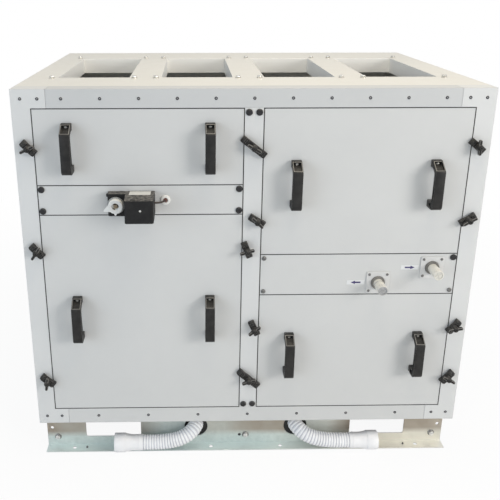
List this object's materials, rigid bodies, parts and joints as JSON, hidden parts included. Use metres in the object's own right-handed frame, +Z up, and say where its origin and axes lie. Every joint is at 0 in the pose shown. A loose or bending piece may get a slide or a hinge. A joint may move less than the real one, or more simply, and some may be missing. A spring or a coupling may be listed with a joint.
{
  "type": "air handling unit",
  "caption": "Insulated box casing on a folded base frame, with duct openings in the roof, clamped lift-off front panels, a damper actuator, coil pipes and drain hoses.",
  "frame": {"origin": "bottom centre of the whole unit, on the floor", "axes": "+Z up, the front with the panels faces -Y, +X to the right seen from the front"},
  "size_m": [1.26, 0.99, 1.13],
  "materials": {
    "casing_paint": "light grey powder coat",
    "plate_paint": "white powder coat",
    "galvanised_steel": "galvanised sheet",
    "black_plastic": "fine grain",
    "white_plastic": "moulded",
    "black_rubber": "matt",
    "zinc_bolts": "zinc plated",
    "pipe_steel": "threaded end",
    "drain_plastic": "ribbed and smooth"
  },
  "bodies": {
    "unit": {"base_front_rail": "galvanised_steel", "base_back_rail": "galvanised_steel", "base_left_rail": "galvanised_steel", "base_right_rail": "galvanised_steel", "floor_panel": "casing_paint", "left_side_panel": "casing_paint", "right_side_panel": "casing_paint", "back_panel": "casing_paint", "partition": "casing_paint", "roof_panel": "casing_paint", "front_left_post": "casing_paint", "front_right_post": "casing_paint", "centre_post": "casing_paint", "front_top_rail": "casing_paint", "front_bottom_rail": "casing_paint", "upper_left_panel": "casing_paint", "left_strip": "casing_paint", "lower_left_panel": "casing_paint", "upper_right_panel": "casing_paint", "right_strip": "casing_paint", "lower_right_panel": "casing_paint", "upper_left_handles": "black_plastic", "lower_left_handles": "black_plastic", "upper_right_handles": "black_plastic", "lower_right_handles": "black_plastic", "bolt_caps": "black_plastic", "strip_bolts": "zinc_bolts", "actuator_body": "black_plastic", "actuator_cable": "black_rubber", "cable_grommet": "white_plastic", "pipe_plates": "plate_paint", "pipe_sleeves": "black_rubber", "coil_pipes": "pipe_steel", "drain_spigots": "drain_plastic", "left_drain_hose": "drain_plastic", "right_drain_hose": "drain_plastic", "left_drain_cuff": "drain_plastic", "right_drain_cuff": "drain_plastic"},
    "clamp_left_top": {"clamp_left_top": "black_plastic"},
    "clamp_left_middle": {"clamp_left_middle": "black_plastic"},
    "clamp_left_bottom": {"clamp_left_bottom": "black_plastic"},
    "clamp_centre_top": {"clamp_centre_top": "black_plastic"},
    "clamp_centre_upper": {"clamp_centre_upper": "black_plastic"},
    "clamp_centre_middle": {"clamp_centre_middle": "black_plastic"},
    "clamp_centre_lower": {"clamp_centre_lower": "black_plastic"},
    "clamp_centre_bottom": {"clamp_centre_bottom": "black_plastic"},
    "clamp_right_top": {"clamp_right_top": "black_plastic"},
    "clamp_right_upper": {"clamp_right_upper": "black_plastic"},
    "clamp_right_lower": {"clamp_right_lower": "black_plastic"},
    "clamp_right_bottom": {"clamp_right_bottom": "black_plastic"},
    "damper_shaft": {"shaft_clamp": "white_plastic"}
  },
  "joints": [
    {"name": "clamp_left_top_turn", "type": "hinge", "parent": "unit", "child": "clamp_left_top", "pos_m": [-0.592, -0.405, 0.977], "axis": [0, 1, 0], "range_deg": [0, 45]},
    {"name": "clamp_left_middle_turn", "type": "hinge", "parent": "unit", "child": "clamp_left_middle", "pos_m": [-0.592, -0.405, 0.685], "axis": [0, 1, 0], "range_deg": [0, 42]},
    {"name": "clamp_left_bottom_turn", "type": "hinge", "parent": "unit", "child": "clamp_left_bottom", "pos_m": [-0.592, -0.405, 0.273], "axis": [0, 1, 0], "range_deg": [0, 49]},
    {"name": "clamp_centre_top_turn", "type": "hinge", "parent": "unit", "child": "clamp_centre_top", "pos_m": [0, -0.405, 0.977], "axis": [0, 1, 0], "range_deg": [0, 52]},
    {"name": "clamp_centre_upper_turn", "type": "hinge", "parent": "unit", "child": "clamp_centre_upper", "pos_m": [0.013, -0.405, 0.771], "axis": [0, 1, 0], "range_deg": [0, 59]},
    {"name": "clamp_centre_middle_turn", "type": "hinge", "parent": "unit", "child": "clamp_centre_middle", "pos_m": [-0.013, -0.405, 0.685], "axis": [0, 1, 0], "range_deg": [0, 22]},
    {"name": "clamp_centre_lower_turn", "type": "hinge", "parent": "unit", "child": "clamp_centre_lower", "pos_m": [0.013, -0.405, 0.441], "axis": [0, 1, 0], "range_deg": [0, 26]},
    {"name": "clamp_centre_bottom_turn", "type": "hinge", "parent": "unit", "child": "clamp_centre_bottom", "pos_m": [0, -0.405, 0.273], "axis": [0, 1, 0], "range_deg": [0, 49]},
    {"name": "clamp_right_top_turn", "type": "hinge", "parent": "unit", "child": "clamp_right_top", "pos_m": [0.592, -0.405, 0.977], "axis": [0, 1, 0], "range_deg": [0, 51]},
    {"name": "clamp_right_upper_turn", "type": "hinge", "parent": "unit", "child": "clamp_right_upper", "pos_m": [0.592, -0.405, 0.771], "axis": [0, -1, 0], "range_deg": [0, 57]},
    {"name": "clamp_right_lower_turn", "type": "hinge", "parent": "unit", "child": "clamp_right_lower", "pos_m": [0.592, -0.405, 0.441], "axis": [0, -1, 0], "range_deg": [0, 41]},
    {"name": "clamp_right_bottom_turn", "type": "hinge", "parent": "unit", "child": "clamp_right_bottom", "pos_m": [0.592, -0.405, 0.273], "axis": [0, -1, 0], "range_deg": [0, 42]},
    {"name": "damper_turn", "type": "hinge", "parent": "unit", "child": "damper_shaft", "pos_m": [-0.367, -0.405, 0.825], "axis": [0, 1, 0], "range_deg": [0, 90]}
  ]
}
